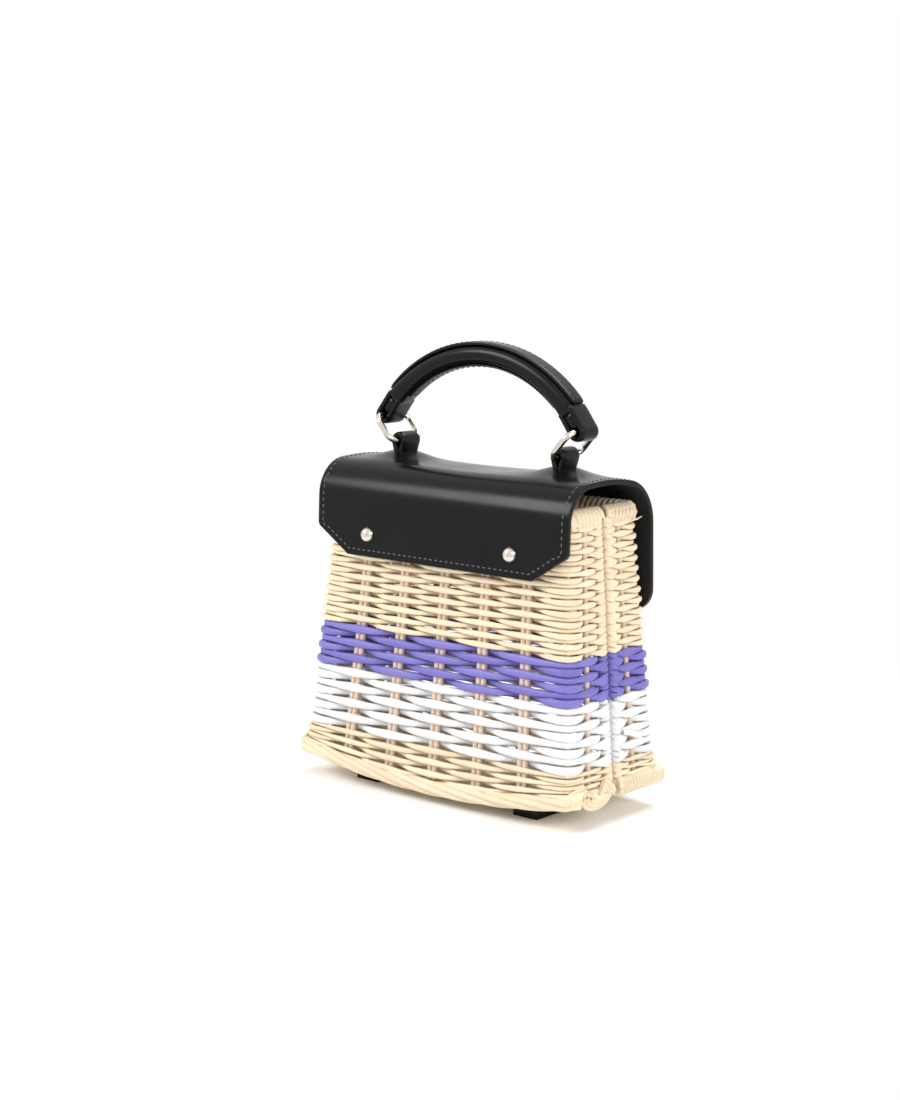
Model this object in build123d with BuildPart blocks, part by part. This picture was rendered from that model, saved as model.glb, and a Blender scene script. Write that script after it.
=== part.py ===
from build123d import *
from math import asin, cos, degrees, radians, sin, tan
import os

# A small hinged wicker handbag: two half-baskets stand back to back, joined under
# the base by two leather straps and closed by a leather flap that is riveted to the
# rear half and carries the top handle. Millimetres, +Z up, origin on the floor under
# the middle of the base, front towards -Y.

# Basket outline, read on the crests of the weave
half_width = 86.5
half_depth = 40.5
wall_lean = 4.7
wall_thickness = 7.0
split_gap = 0.6

# Heights of the bands of colour
lower_bottom = 8.5
white_bottom = 27.5
blue_bottom = 58.5
blue_top = 80.0
wall_top = 144.0
lower_rows = 6
white_rows = 8
blue_rows = 6
upper_rows = 25

# Weave
row_relief = 1.2
crest_share = 0.4
corner_radius = 4.2
corner_proud = 0.6
edge_radius = 3.4
stake_count = 5
stake_spacing = 27.8
stake_radius = 1.45
stake_clearance = 0.15
window_width = 6.4
window_share = 0.84

# Rolled rim on top and rolled border below
rim_radius = 4.2
rim_height = 145.4
rim_wrap_pitch = 2.7
rim_wrap_depth = 0.5
border_radius = 3.6
border_proud = 1.4
border_middle = 8.0
border_corner = 15.5
base_thickness = 5.0
base_row_pitch = 6.0
base_row_relief = 1.0
seat_clearance = 0.05

# Hinge straps under the base
strap_spacing = 100.0
strap_width = 14.0
strap_thickness = 3.0
strap_reach = 26.0
strap_end_length = 6.5

# Leather flap
leather = 2.6
flap_half_width = 77.0
flap_gap = 1.3
rear_bottom = 116.0
rear_bottom_half = 57.0
rear_shoulder = 129.0
hinge_height = 149.0
panel_draw_in = 0.65
rear_corner_height = 159.8
crown_height = 161.4
front_corner_height = 157.5
rear_corner_radius = 10.0
crown_radius = 150.0
shoulder_radius = 22.0
front_gap = 2.2
front_lean_share = 0.5
front_bottom = 94.0
front_corner = 12.0

# Rivets through the rear panel
rivet_spacing = 88.4
rivet_height = 127.0
rivet_head_radius = 3.75
rivet_head_height = 3.0
rivet_shank_radius = 1.4
burr_radius = 4.0
burr_thickness = 1.0
burr_seat = 0.35
rivet_clearance = 0.05

# Magnetic snap behind the front of the flap
snap_height = 110.0
snap_radius = 7.0
snap_thickness = 1.0

# Tabs, rings and handle
tab_spacing = 99.0
tab_width = 13.0
tab_leather = 2.7
tab_rise = 8.4
tab_foot = 11.0
tab_foot_thickness = 2.0
tab_clearance = 0.2
ring_wire = 1.5
ring_width = 23.0
ring_height = 16.0
ring_corner = 5.0
ring_lean = 40.0
bar_clearance = 0.08
open_pivot_clearance = 0.6
grip_width = 13.0
grip_thickness = 9.4
grip_corner = 3.8
grip_top = 216.4
grip_end_angle = 50.0
strip_width = 9.0
strip_thickness = 1.8
strip_corner = 0.6
strip_end_angle = 48.0
underside_width = 6.5
underside_thickness = 1.2
underside_corner = 0.4
underside_end_angle = 44.0
loop_radius = 4.6

slope = tan(radians(wall_lean))
edge_y = split_gap + edge_radius


def width_at(height):
    return half_width - height * slope


def depth_at(height):
    return half_depth - height * slope


def stake_x(index, height):
    """Sideways place of a stake of the long wall; the stakes draw together upwards."""
    return index * stake_spacing * width_at(height) / half_width


def stake_indices():
    middle = (stake_count - 1) / 2
    return [number - middle for number in range(stake_count)]


def export(piece, label):
    piece.part.label = label
    export_step(piece.part, f"parts/{label}.step")


def mirrored(piece):
    """The same piece for the front half."""
    with BuildPart() as front:
        mirror(piece.part, about=Plane.XZ)
    return front


def section_points(bottom, top, rows):
    """Ridged outside and plain inside of a woven wall, from the plane of its foot."""
    pitch = (top - bottom) / rows
    flank = pitch * (1 - crest_share) / 2
    points = [(-bottom * slope - row_relief, bottom)]
    for row in range(rows):
        low = bottom + row * pitch
        for height, relief in ((low + flank, 0), (low + pitch - flank, 0), (low + pitch, row_relief)):
            points.append((-height * slope - relief, height))
    points.append((-top * slope - wall_thickness, top))
    points.append((-bottom * slope - wall_thickness, bottom))
    return points


def column(x, y, bottom, top, radius):
    """A round column between two level planes that leans inwards with the walls."""
    draw_in = (top - bottom) * slope
    with BuildPart() as post:
        with BuildSketch(Plane.XY.offset(bottom)):
            with Locations((x, y)):
                Circle(radius)
        with BuildSketch(Plane.XY.offset(top)):
            with Locations((x - draw_in * x / abs(x), y - draw_in * (y > edge_y))):
                Circle(radius)
        loft(ruled=True)
    return post.part


def stake_line(index, height):
    """Middle of a stake, halfway through the thickness of the wall."""
    return Vector(stake_x(index, height), depth_at(height) - wall_thickness / 2 - row_relief / 2, height)


def stake_plane(index, bottom, top):
    """Plane across a stake at its foot, and the stake's length up to another height."""
    foot = stake_line(index, bottom)
    run = stake_line(index, top) - foot
    return Plane(origin=foot, x_dir=(1, 0, 0), z_dir=run.normalized()), run.length


def woven_band(bottom, top, rows, first_row, cuts=()):
    """One colour of the rear half's weave: ridged rows round three sides, with a
    window on every second row at each stake. The cuts are what seats in or on it."""
    pitch = (top - bottom) / rows
    inset = corner_radius - corner_proud
    columns = []
    for side in (-1, 1):
        corner_x = side * (width_at(bottom) - inset)
        columns.append(column(corner_x, depth_at(bottom) - inset, bottom, top, corner_radius))
        columns.append(column(side * (width_at(bottom) - edge_radius), edge_y, bottom, top, edge_radius))
    windows = []
    for row in range(rows):
        height = bottom + (row + 0.5) * pitch
        for number, index in enumerate(stake_indices()):
            if (first_row + row + number) % 2 == 0:
                place = (stake_x(index, height), depth_at(height) - row_relief / 2, height)
                windows.append(Location(place, (wall_lean, 0, 0)))
    with BuildPart() as cutter:
        for index in stake_indices():
            plane, length = stake_plane(index, bottom, top)
            with BuildSketch(plane.offset(-wall_thickness)):
                Rectangle(4 * stake_radius + 4 * stake_clearance, 2 * stake_radius + 2 * stake_clearance)
            extrude(amount=length + 2 * wall_thickness)
        with Locations(*windows):
            Box(window_width, wall_thickness / 2, window_share * pitch)
    with BuildPart() as band:
        with BuildLine() as route:
            Polyline(
                (half_width, edge_y, 0),
                (half_width, half_depth, 0),
                (-half_width, half_depth, 0),
                (-half_width, edge_y, 0),
            )
        with BuildSketch(Plane(origin=(half_width, edge_y, 0), x_dir=(1, 0, 0), z_dir=(0, -1, 0))):
            with BuildLine():
                Polyline(*section_points(bottom, top, rows), close=True)
            make_face()
        sweep(path=route.wire(), transition=Transition.RIGHT)
        add(columns)
        add(cutter.part, mode=Mode.SUBTRACT)
        for cut in cuts:
            add(cut, mode=Mode.SUBTRACT)
    with BuildPart() as kept:
        add(band.part.solids().sort_by(SortBy.VOLUME)[-1])
    return kept


def bow_height(x):
    """Height of the middle of the bowed border and base at a place along the bag."""
    rise = border_corner - border_middle
    bow_radius = (border_x**2 + rise**2) / (2 * rise)
    return border_middle + bow_radius - (bow_radius**2 - x**2) ** 0.5


def arc_strip(width, thickness, corner, radius, end_angle):
    """A strip bent along the arch of the handle, to the same angle each way."""
    angle = radians(end_angle)
    start = Plane(
        origin=(-radius * sin(angle), 0, arch_centre + radius * cos(angle)),
        x_dir=(0, 1, 0),
        z_dir=(cos(angle), 0, sin(angle)),
    )
    with BuildPart() as strip:
        with BuildSketch(start):
            RectangleRounded(width, thickness, corner)
        revolve(axis=Axis((0, 0, arch_centre), (0, 1, 0)), revolution_arc=2 * end_angle)
    return strip


os.makedirs("parts", exist_ok=True)

# Rolled border round the foot of the rear half, bowed down along the long wall
border_x = width_at(border_corner) + border_proud - border_radius
border_y = depth_at(border_middle) + border_proud - border_radius
with BuildPart() as rear_border:
    with BuildLine() as bow:
        ThreePointArc(
            (-border_x, border_y, border_corner),
            (0, border_y, border_middle),
            (border_x, border_y, border_corner),
        )
    with BuildSketch(Plane(origin=bow.edge() @ 0, z_dir=bow.edge() % 0)):
        Circle(border_radius)
    sweep(path=bow.edge())
    for side in (-1, 1):
        with BuildSketch(Plane(origin=(side * border_x, split_gap, border_corner), z_dir=(0, 1, 0))):
            Circle(border_radius)
        extrude(amount=border_y - split_gap)
    with Locations((border_x, border_y, border_corner), (-border_x, border_y, border_corner)):
        Sphere(border_radius)
export(rear_border, "rear_border")

# Everything below the middle of the border, which the woven wall doesn't reach
with BuildPart() as below_border:
    with BuildSketch(Plane.XZ):
        with BuildLine():
            ThreePointArc((-border_x, border_corner), (0, border_middle), (border_x, border_corner))
            Polyline(
                (border_x, border_corner),
                (2 * border_x, border_corner),
                (2 * border_x, -border_corner),
                (-2 * border_x, -border_corner),
                (-2 * border_x, border_corner),
                (-border_x, border_corner),
            )
        make_face()
    extrude(amount=2 * half_depth, both=True)

# Rolled rim: plain under the flap, wound round and round on the open ends
rim_inset = wall_thickness / 2
rim_x = width_at(rim_height) - rim_inset
rim_y = depth_at(rim_height) - rim_inset
rim_run = rim_y - split_gap
rim_wraps = int(rim_run / rim_wrap_pitch)
with BuildPart() as rear_rim:
    with BuildSketch(Plane(origin=(-rim_x, rim_y, rim_height), z_dir=(1, 0, 0))):
        Circle(rim_radius)
    extrude(amount=2 * rim_x)
    with Locations((rim_x, rim_y, rim_height), (-rim_x, rim_y, rim_height)):
        Sphere(rim_radius)
    wrap = rim_run / rim_wraps
    for side in (-1, 1):
        outline = [(0, 0), (rim_radius - rim_wrap_depth, 0)]
        for number in range(rim_wraps):
            outline.append((rim_radius, (number + 0.5) * wrap))
            outline.append((rim_radius - rim_wrap_depth, (number + 1) * wrap))
        outline.append((0, rim_run))
        end_plane = Plane(origin=(side * rim_x, split_gap, rim_height), x_dir=(1, 0, 0), z_dir=(0, 0, 1))
        with BuildSketch(end_plane):
            with BuildLine():
                Polyline(*outline, close=True)
            make_face()
        revolve(axis=Axis((side * rim_x, 0, rim_height), (0, 1, 0)))
export(rear_rim, "rear_rim")

# Woven base, ridged below, which follows the bow of the border
base_rows = round((border_y - split_gap) / base_row_pitch)
base_pitch = (border_y - split_gap) / base_rows
with BuildPart() as rear_base:
    with BuildLine() as base_bow:
        ThreePointArc((-border_x, 0, border_corner), (0, 0, border_middle), (border_x, 0, border_corner))
    with BuildSketch(Plane(origin=base_bow.edge() @ 0, x_dir=(0, 1, 0), z_dir=base_bow.edge() % 0)):
        with BuildLine():
            underside = [(split_gap, base_row_relief - base_thickness / 2)]
            for row in range(base_rows):
                start = split_gap + row * base_pitch
                underside.append((start + base_pitch / 2, -base_thickness / 2))
                underside.append((start + base_pitch, base_row_relief - base_thickness / 2))
            Polyline(*underside, (border_y, base_thickness / 2), (split_gap, base_thickness / 2), close=True)
        make_face()
    sweep(path=base_bow.edge())
    add(rear_border.part, mode=Mode.SUBTRACT)
export(rear_base, "rear_base")
export(mirrored(rear_base), "front_base")

# Rivets through the rear panel, the weave and a burr inside
panel_foot = depth_at(rear_bottom) + flap_gap + leather / 2
hinge_seat = panel_foot - panel_draw_in
panel_slope = panel_draw_in / (hinge_height - rear_bottom)
rivet_seat = panel_foot + leather / 2
burr_face = depth_at(rivet_height) - wall_thickness - burr_seat
dome_radius = (rivet_head_radius**2 + rivet_head_height**2) / (2 * rivet_head_height)
dome_angle = degrees(asin(rivet_head_radius / dome_radius))
with BuildPart() as rivet:
    with BuildSketch(Plane.XY):
        with BuildLine():
            Line((0, rivet_seat), (rivet_head_radius, rivet_seat))
            CenterArc((0, rivet_seat + rivet_head_height - dome_radius), dome_radius, 90 - dome_angle, dome_angle)
            Line((0, rivet_seat + rivet_head_height), (0, rivet_seat))
        make_face()
    revolve(axis=Axis.Y)
    with BuildSketch(Plane(origin=(0, burr_face - burr_thickness, 0), z_dir=(0, 1, 0))):
        Circle(rivet_shank_radius)
    extrude(amount=rivet_seat - burr_face + burr_thickness)
with BuildPart() as burr:
    with BuildSketch(Plane(origin=(0, burr_face - burr_thickness, 0), z_dir=(0, 1, 0))):
        Circle(burr_radius)
        Circle(rivet_shank_radius + rivet_clearance, mode=Mode.SUBTRACT)
    extrude(amount=burr_thickness)
rivet_places = [(side * rivet_spacing / 2, 0, rivet_height) for side in (-1, 1)]
with BuildPart() as rivet_holes:
    with Locations(*rivet_places):
        Cylinder(rivet_shank_radius + rivet_clearance, 4 * half_depth, rotation=(90, 0, 0))
with BuildPart() as front_clear:
    with Locations((0, -2 * half_depth, rivet_height)):
        Box(2 * rivet_spacing, 4 * half_depth, 4 * burr_radius)
with BuildPart() as rear_rivet_holes:
    add(rivet_holes.part)
    add(front_clear.part, mode=Mode.SUBTRACT)
with BuildPart() as flap_rivets:
    with Locations(*rivet_places):
        add(rivet.part)
export(flap_rivets, "flap_rivets")
with BuildPart() as rivet_burrs:
    with Locations(*rivet_places):
        add(burr.part)
export(rivet_burrs, "rivet_burrs")

# Woven bands of the rear half, from the foot up; the front half's are their mirror image
first_blue = lower_rows + white_rows
first_upper = first_blue + blue_rows
bands = {
    "lower_weave": woven_band(
        lower_bottom, white_bottom, lower_rows, 0, (below_border.part, rear_border.part, rear_base.part)
    ),
    "white_weave": woven_band(white_bottom, blue_bottom, white_rows, lower_rows),
    "blue_weave": woven_band(blue_bottom, blue_top, blue_rows, first_blue),
    "upper_weave": woven_band(blue_top, wall_top, upper_rows, first_upper, (rear_rim.part,)),
}
for name, band in bands.items():
    export(mirrored(band), f"front_{name}")
    if name == "upper_weave":
        with BuildPart() as riveted:
            add(band.part)
            add(rear_rivet_holes.part, mode=Mode.SUBTRACT)
        export(riveted, f"rear_{name}")
    else:
        export(band, f"rear_{name}")

# Double stakes in the middle of the wall, between the border and the rim
with BuildPart() as rear_stakes:
    for index in stake_indices():
        foot_height = bow_height(stake_x(index, border_middle)) + border_radius + stake_clearance
        plane, length = stake_plane(index, foot_height, rim_height - rim_radius - 2 * stake_clearance)
        with BuildSketch(plane):
            with Locations((-stake_radius - stake_clearance / 2, 0), (stake_radius + stake_clearance / 2, 0)):
                Circle(stake_radius)
        extrude(amount=length)
export(rear_stakes, "rear_stakes")
export(mirrored(rear_stakes), "front_stakes")
export(mirrored(rear_border), "front_border")
export(mirrored(rear_rim), "front_rim")

# Leather hinge straps: each leaf lies on the floor and is doubled up at its end
for side, name in ((1, "left"), (-1, "right")):
    strap_x = side * strap_spacing / 2
    with BuildPart() as leaf:
        with BuildSketch(Plane.XY):
            with Locations((strap_x, strap_reach / 2)):
                Rectangle(strap_width, strap_reach)
        extrude(amount=strap_thickness)
        with BuildSketch(Plane.XY):
            with Locations((strap_x, strap_reach - strap_end_length / 2)):
                RectangleRounded(strap_width, strap_end_length, strap_thickness / 2)
        extrude(amount=bow_height(strap_x) + base_thickness / 2)
        add(rear_base.part, mode=Mode.SUBTRACT)
    with BuildPart() as kept_leaf:
        add(leaf.part.solids().sort_by(Axis.Z)[0])
    export(kept_leaf, f"{name}_strap_rear")
    export(mirrored(kept_leaf), f"{name}_strap_front")

# Rear panel of the flap, flat on the rear half, with cut-off lower corners
with BuildPart() as rear_panel:
    with BuildSketch(Plane.YZ):
        with BuildLine() as panel_route:
            Line((panel_foot, rear_bottom), (hinge_seat, hinge_height))
        trace(line_width=leather)
    extrude(amount=flap_half_width, both=True)
    with BuildSketch(Plane.XZ):
        for side in (-1, 1):
            with BuildLine():
                Polyline(
                    (side * rear_bottom_half, rear_bottom - leather),
                    (side * (flap_half_width + leather), rear_bottom - leather),
                    (side * (flap_half_width + leather), rear_shoulder),
                    (side * flap_half_width, rear_shoulder),
                    (side * rear_bottom_half, rear_bottom),
                    close=True,
                )
            make_face()
    extrude(amount=2 * half_depth, both=True, mode=Mode.SUBTRACT)
    add(rear_rivet_holes.part, mode=Mode.SUBTRACT)
export(rear_panel, "flap_rear_panel")

# Bar of the rings, which sets the height of the tabs
tab_x = tab_spacing / 2
bar_height = crown_height + leather / 2 + tab_rise

# Crown and front of the flap, in one piece of leather that bends at the rear panel's top
front_foot = -depth_at(front_bottom) - front_gap - leather / 2
front_corner_y = front_foot + (front_corner_height - front_bottom) * slope * front_lean_share
slot_half_width = tab_leather + tab_clearance
with BuildPart() as flap:
    with BuildSketch(Plane.YZ):
        with BuildLine() as flap_route:
            FilletPolyline(
                (hinge_seat, hinge_height),
                (hinge_seat - panel_slope * (rear_corner_height - hinge_height), rear_corner_height),
                (0, crown_height),
                (front_corner_y, front_corner_height),
                (front_foot, front_bottom),
                radius=[rear_corner_radius, crown_radius, shoulder_radius],
            )
        trace(line_width=leather)
    extrude(amount=flap_half_width, both=True)
    with BuildSketch(Plane.XY.offset(hinge_height)):
        with Locations((-tab_x, 0), (tab_x, 0)):
            Rectangle(2 * slot_half_width, tab_width + 2 * tab_clearance)
    extrude(amount=2 * tab_rise, mode=Mode.SUBTRACT)
    hem = flap.faces().sort_by(Axis.Z)[0]
    fillet(hem.edges().sort_by(SortBy.LENGTH)[:2], radius=front_corner)
export(flap, "flap")

# Magnetic snap: a disc on the front wall and one behind the flap
socket_plane = Plane(
    origin=(0, -depth_at(snap_height), snap_height),
    x_dir=(1, 0, 0),
    z_dir=(0, -cos(radians(wall_lean)), sin(radians(wall_lean))),
)
with BuildPart() as snap_socket:
    with BuildSketch(socket_plane):
        Circle(snap_radius)
    extrude(amount=snap_thickness)
export(snap_socket, "snap_socket")
front_run = Vector(0, front_corner_y - front_foot, front_corner_height - front_bottom).normalized()
front_normal = Vector(0, front_run.Z, -front_run.Y)
snap_share = (snap_height - front_bottom) / (front_corner_height - front_bottom)
stud_y = front_foot + snap_share * (front_corner_y - front_foot)
stud_origin = Vector(0, stud_y, snap_height) + front_normal * (leather / 2)
with BuildPart() as snap_stud:
    with BuildSketch(Plane(origin=stud_origin, x_dir=(1, 0, 0), z_dir=front_normal)):
        Circle(snap_radius)
    extrude(amount=snap_thickness)
export(snap_stud, "snap_stud")

# Leather tabs: a strip folded over the ring's bar, through the crown and spread below
crown_fall = tab_width / 2 * (crown_height - front_corner_height) / abs(front_corner_y)
crown_inside = flap.part.bounding_box().max.Z - leather - crown_fall
tab_radius = ring_wire + bar_clearance + tab_leather
for side, name in ((1, "left"), (-1, "right")):
    with BuildPart() as tab:
        with BuildSketch(Plane.XZ):
            with BuildSketch(mode=Mode.PRIVATE) as fold:
                with Locations((side * tab_x, bar_height)):
                    Circle(tab_radius)
                with Locations((side * tab_x, bar_height - tab_rise + tab_leather)):
                    Rectangle(2 * tab_leather, tab_leather)
            make_hull(fold.edges())
            with Locations((side * tab_x, (bar_height + crown_inside - tab_clearance) / 2)):
                Rectangle(2 * tab_leather, bar_height - crown_inside + tab_clearance)
            with Locations((side * tab_x, crown_inside - tab_clearance - tab_foot_thickness / 2)):
                Rectangle(2 * tab_foot, tab_foot_thickness)
            with Locations((side * tab_x, bar_height)):
                Circle(ring_wire + bar_clearance, mode=Mode.SUBTRACT)
        extrude(amount=tab_width / 2, both=True)
    export(tab, f"{name}_tab")

# Rings, which lean outwards under the pull of the wider handle
lean = radians(ring_lean)
for side, name in ((1, "left"), (-1, "right")):
    ring_up = Vector(side * sin(lean), 0, cos(lean))
    ring_centre = Vector(side * tab_x, 0, bar_height) + ring_up * (ring_height / 2)
    ring_plane = Plane(origin=ring_centre, x_dir=(0, 1, 0), z_dir=Vector(0, 1, 0).cross(ring_up))
    with BuildSketch(ring_plane) as ring_route:
        RectangleRounded(ring_width, ring_height, ring_corner)
    route = ring_route.sketch.face().outer_wire()
    with BuildPart() as ring:
        with BuildSketch(Plane(origin=route @ 0, z_dir=route % 0)):
            Circle(ring_wire)
        sweep(path=route)
    export(ring, f"{name}_ring")

# Arch of the handle, through the upper bars of both rings
grip_x = tab_x + ring_height * sin(lean)
grip_foot = bar_height + ring_height * cos(lean)
grip_rise = grip_top - grip_foot
arch_radius = (grip_x**2 + grip_rise**2) / (2 * grip_rise)
arch_centre = grip_top - arch_radius
handle_grip = arc_strip(grip_width, grip_thickness, grip_corner, arch_radius, grip_end_angle)
export(handle_grip, "handle_grip")
strip_radius = arch_radius + (grip_thickness + strip_thickness) / 2
handle_top_strip = arc_strip(strip_width, strip_thickness, strip_corner, strip_radius, strip_end_angle)
export(handle_top_strip, "handle_top_strip")
underside_radius = arch_radius - (grip_thickness + underside_thickness) / 2
handle_underside_strip = arc_strip(
    underside_width, underside_thickness, underside_corner, underside_radius, underside_end_angle
)
export(handle_underside_strip, "handle_underside_strip")

# Ends of the handle, folded round the rings; the right one is looser than a plain pivot
for side, name, clearance in ((1, "left", bar_clearance), (-1, "right", open_pivot_clearance)):
    end_angle = radians(grip_end_angle)
    end_place = (side * arch_radius * sin(end_angle), arch_centre + arch_radius * cos(end_angle))
    with BuildPart() as handle_loop:
        with BuildSketch(Plane.XZ):
            with BuildSketch(mode=Mode.PRIVATE) as wrap_outline:
                with Locations((side * grip_x, grip_foot)):
                    Circle(loop_radius)
                with Locations(Location((*end_place, 0), (0, 0, -side * grip_end_angle))):
                    with Locations((side * seat_clearance * 2, 0)):
                        Rectangle(2 * seat_clearance, grip_thickness)
            make_hull(wrap_outline.edges())
            with Locations((side * grip_x, grip_foot)):
                Circle(ring_wire + clearance, mode=Mode.SUBTRACT)
        extrude(amount=grip_width / 2, both=True)
    export(handle_loop, f"handle_{name}_loop")
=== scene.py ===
import math
import random

import bmesh
import bpy
from mathutils import Matrix, Vector


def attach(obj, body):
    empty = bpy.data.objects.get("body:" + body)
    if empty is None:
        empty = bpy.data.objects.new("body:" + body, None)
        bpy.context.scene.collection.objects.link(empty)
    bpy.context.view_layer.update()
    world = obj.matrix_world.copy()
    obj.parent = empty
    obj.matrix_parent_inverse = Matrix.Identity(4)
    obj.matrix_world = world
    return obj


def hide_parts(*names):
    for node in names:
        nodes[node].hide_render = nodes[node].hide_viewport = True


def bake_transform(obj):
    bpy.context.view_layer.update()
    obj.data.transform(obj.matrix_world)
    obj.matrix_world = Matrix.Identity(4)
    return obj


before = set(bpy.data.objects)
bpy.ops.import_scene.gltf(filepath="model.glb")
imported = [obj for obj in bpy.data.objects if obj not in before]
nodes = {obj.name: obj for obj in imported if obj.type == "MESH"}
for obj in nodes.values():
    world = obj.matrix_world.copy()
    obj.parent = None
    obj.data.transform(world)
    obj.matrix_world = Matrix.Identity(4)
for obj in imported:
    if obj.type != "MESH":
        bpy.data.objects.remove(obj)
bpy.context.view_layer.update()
random.seed(11)

# Sizes in millimetres, in the frame of the CAD model
MM = 0.001
NODE_SPACING = 180
HALF_WIDTH = 86.5
HALF_DEPTH = 40.5
SLOPE = math.tan(math.radians(4.7))
SPLIT_GAP = 0.6
WALL_MIDDLE = 4.1
CORNER_BEND = 3.0
POST_Y = 3.9
STAKE_SPACING = 27.8
STAKE_INDICES = (-2, -1, 0, 1, 2)

BOW_MIDDLE = 8.0
BOW_CORNER = 15.5
BORDER_RADIUS = 3.6
BORDER_PROUD = 1.4
BORDER_REACH = HALF_WIDTH - BOW_CORNER * SLOPE + BORDER_PROUD - BORDER_RADIUS
BORDER_REEDS = 5
BORDER_REED = 1.45
BORDER_TWIST = 104.0
ROPE_ACROSS, ROPE_UPRIGHT = 1.7, 2.3
BORDER_END_GAP = 1.6
CURLS = 4
CURL_REED = 1.25
CURL_RADIUS, CURL_SPACING = 2.0, 2.3

RIM_HEIGHT = 144.0
RIM_INSET = 4.2
RIM_END_GAP = 2.2
RIM_REED = 1.6
RIM_PITCH = 3.0
WRAP_PITCH = 2.7

LEATHER = 2.6
FLAP_HALF_WIDTH = 77.0
REAR_BOTTOM = 116.0
REAR_BOTTOM_HALF = 57.0
REAR_SHOULDER = 129.0
HINGE_HEIGHT = 149.0
PANEL_GAP = 1.3
PANEL_DRAW_IN = 0.65
REAR_CORNER_HEIGHT = 159.8
CROWN_HEIGHT = 161.4
FRONT_CORNER_HEIGHT = 157.5
FRONT_BOTTOM = 94.0
FRONT_GAP = 2.2
FRONT_CORNER = 12.0
REAR_FILLET, CROWN_FILLET, FRONT_FILLET = 17, 120, 22
TAB_LIFT, TAB_LIFT_REACH = 4.4, 13
CROWN_SAG, SAG_ACROSS, SAG_ALONG = 1.3, 27, 19
RIPPLE = 0.35
HEM_INSET = 3.2
HEM_THREAD = 0.29
STITCH_PITCH = 3.3
STITCH_PROUD = 0.08

TAB_X = 49.5
TAB_WIDTH = 13.0
TAB_RISE = 8.4
BAR_HEIGHT = CROWN_HEIGHT + LEATHER / 2 + TAB_RISE
RING_REACH = 16.0
RING_LEAN = math.radians(40)
GRIP_WIDTH = 13.0
GRIP_THICKNESS = 9.4
GRIP_TOP = 216.4
GRIP_END = math.radians(50)
STRIP_WIDTH = 9.0
STRIP_THICKNESS = 1.8
STRIP_END = math.radians(48)
SEAM_WIDTH = 6.5
SEAM_THICKNESS = 1.2
SEAM_END = math.radians(44)


def half_width_at(height):
    return HALF_WIDTH - height * SLOPE


def half_depth_at(height):
    return HALF_DEPTH - height * SLOPE


def smooth(t):
    t = min(max(t, 0.0), 1.0)
    return t * t * (3 - 2 * t)


# Node helpers
def feed(tree, node, inputs):
    """Sets a node's inputs, and links those that are given as another node's output."""
    for name, value in inputs.items():
        if isinstance(value, bpy.types.NodeSocket):
            tree.links.new(value, node.inputs[name])
        else:
            node.inputs[name].default_value = value


def add_node(tree, kind, inputs=None, **settings):
    node = tree.nodes.new(kind)
    node.location.x = NODE_SPACING * len(tree.nodes)
    for name, value in settings.items():
        setattr(node, name, value)
    feed(tree, node, inputs or {})
    return node


def maths(tree, operation, *values, **settings):
    node = add_node(tree, "ShaderNodeMath", dict(enumerate(values)), operation=operation, **settings)
    return node.outputs[0]


def noise(tree, vector, scale, detail=2.0):
    inputs = {"Vector": vector, "Scale": scale, "Detail": detail}
    return add_node(tree, "ShaderNodeTexNoise", inputs).outputs["Fac"]


def mixed(tree, factor, first, second):
    """A mix of two colours; the node's sockets 6, 7 and 2 are the ones for colours."""
    inputs = {"Factor": factor, 6: first, 7: second}
    return add_node(tree, "ShaderNodeMix", inputs, data_type="RGBA").outputs[2]


def object_place(tree):
    return add_node(tree, "ShaderNodeTexCoord").outputs["Object"]


def new_group(name, kind, inputs, outputs):
    """A node group, and the sockets by which its inputs come in."""
    tree = bpy.data.node_groups.new(name, kind)
    for way, sockets in (("INPUT", inputs), ("OUTPUT", outputs)):
        for label, data in sockets.items():
            tree.interface.new_socket(label, in_out=way, socket_type=f"NodeSocket{data}")
    return tree, add_node(tree, "NodeGroupInput").outputs


# Shader groups shared by the finishes
SKIN_OUTPUTS = {"Color": "Color", "Roughness": "Float", "Height": "Float"}


def reed_skin_group():
    """Split cane: its tone differs from strand to strand, with streaks and blotches."""
    values = {"Pale": "Color", "Dark": "Color", "Blotch Amount": "Float", "Shine": "Float"}
    tree, source = new_group("Reed skin", "ShaderNodeTree", values, SKIN_OUTPUTS)
    place = object_place(tree)
    tone = add_node(tree, "ShaderNodeAttribute", attribute_name="tone").outputs["Fac"]
    patches = add_node(tree, "ShaderNodeMapping", {"Vector": place, "Scale": (60, 60, 260)})
    blotch = noise(tree, patches.outputs["Vector"], 1.0, 4.0)
    streaks = add_node(tree, "ShaderNodeMapping", {"Vector": place, "Scale": (300, 300, 3200)})
    fibre = noise(tree, streaks.outputs["Vector"], 1.0, 3.0)
    patch = maths(tree, "MULTIPLY_ADD", blotch, source["Blotch Amount"], tone)
    shift = maths(tree, "MULTIPLY_ADD", fibre, 0.35, patch, use_clamp=True)
    spread = add_node(tree, "ShaderNodeMapRange", {"Value": shift, "From Min": 0.3, "From Max": 1.3})
    add_node(tree, "NodeGroupOutput", {
        "Color": mixed(tree, spread.outputs["Result"], source["Pale"], source["Dark"]),
        "Roughness": maths(tree, "MULTIPLY_ADD", fibre, 0.3, source["Shine"]),
        "Height": fibre,
    })
    return tree


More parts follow.
